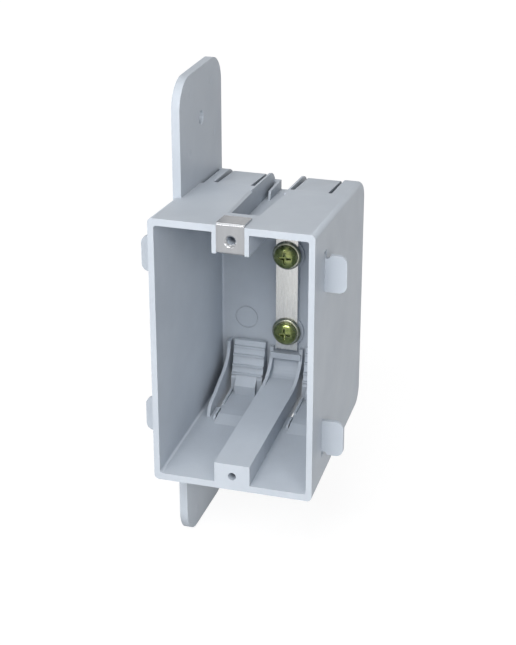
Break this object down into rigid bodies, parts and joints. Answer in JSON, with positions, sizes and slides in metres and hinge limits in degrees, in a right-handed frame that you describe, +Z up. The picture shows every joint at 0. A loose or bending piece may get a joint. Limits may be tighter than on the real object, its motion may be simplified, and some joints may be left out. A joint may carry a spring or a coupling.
{
  "type": "switch box",
  "caption": "Single-gang moulded switch box with a side nailing flange, drywall ears, built-in cable clamps, a device screw clip, and a bonding strap with ground screws.",
  "frame": {"origin": "half-way between the two device screw holes, in the plane of the front rim", "axes": "+X to the right across the box, +Y into the box from the front rim, +Z up along the row of device screws"},
  "size_m": [0.069, 0.0727, 0.1674],
  "materials": {
    "moulded_pvc": "semi-gloss light grey moulding",
    "clip_steel": "satin plated steel",
    "strap_steel": "bright plated steel",
    "screw_zinc": "olive green zinc plating"
  },
  "bodies": {
    "box": {"box_body": "moulded_pvc", "device_screw_clip": "clip_steel", "bonding_strap": "strap_steel"},
    "cable_clamp_top_right": {"cable_clamp_top_right": "moulded_pvc"},
    "cable_clamp_top_left": {"cable_clamp_top_left": "moulded_pvc"},
    "cable_clamp_bottom_right": {"cable_clamp_bottom_right": "moulded_pvc"},
    "cable_clamp_bottom_left": {"cable_clamp_bottom_left": "moulded_pvc"},
    "ground_washer_upper": {"ground_washer_upper": "screw_zinc"},
    "ground_screw_upper": {"ground_screw_upper": "screw_zinc"},
    "ground_washer_lower": {"ground_washer_lower": "screw_zinc"},
    "ground_screw_lower": {"ground_screw_lower": "screw_zinc"}
  },
  "joints": [
    {"name": "cable_clamp_top_right_flex", "type": "hinge", "parent": "box", "child": "cable_clamp_top_right", "pos_m": [0.0134, 0.0466, 0.0427], "axis": [-1, 0, 0], "range_deg": [0, 20], "stiffness_Nm_per_rad": 0.05},
    {"name": "cable_clamp_top_left_flex", "type": "hinge", "parent": "box", "child": "cable_clamp_top_left", "pos_m": [-0.0134, 0.0466, 0.0427], "axis": [-1, 0, 0], "range_deg": [0, 20], "stiffness_Nm_per_rad": 0.05},
    {"name": "cable_clamp_bottom_right_flex", "type": "hinge", "parent": "box", "child": "cable_clamp_bottom_right", "pos_m": [0.0134, 0.0466, -0.0427], "axis": [1, 0, 0], "range_deg": [0, 20], "stiffness_Nm_per_rad": 0.05},
    {"name": "cable_clamp_bottom_left_flex", "type": "hinge", "parent": "box", "child": "cable_clamp_bottom_left", "pos_m": [-0.0134, 0.0466, -0.0427], "axis": [1, 0, 0], "range_deg": [0, 20], "stiffness_Nm_per_rad": 0.05},
    {"name": "ground_screw_upper_travel", "type": "slide", "parent": "box", "child": "ground_washer_upper", "axis": [0, -1, 0], "range_m": [0, 0.004]},
    {"name": "ground_screw_upper_turn", "type": "hinge", "parent": "ground_washer_upper", "child": "ground_screw_upper", "pos_m": [0, 0.062, 0.0123], "axis": [0, -1, 0], "range_deg": [0, 1815]},
    {"name": "ground_screw_lower_travel", "type": "slide", "parent": "box", "child": "ground_washer_lower", "axis": [0, -1, 0], "range_m": [0, 0.004]},
    {"name": "ground_screw_lower_turn", "type": "hinge", "parent": "ground_washer_lower", "child": "ground_screw_lower", "pos_m": [0, 0.062, -0.0172], "axis": [0, -1, 0], "range_deg": [0, 1815]}
  ],
  "couplings": [
    {"joint": "ground_screw_upper_turn", "follows": "ground_screw_upper_travel", "rad_per_m": 7915.6},
    {"joint": "ground_screw_lower_turn", "follows": "ground_screw_lower_travel", "rad_per_m": 7915.6}
  ]
}
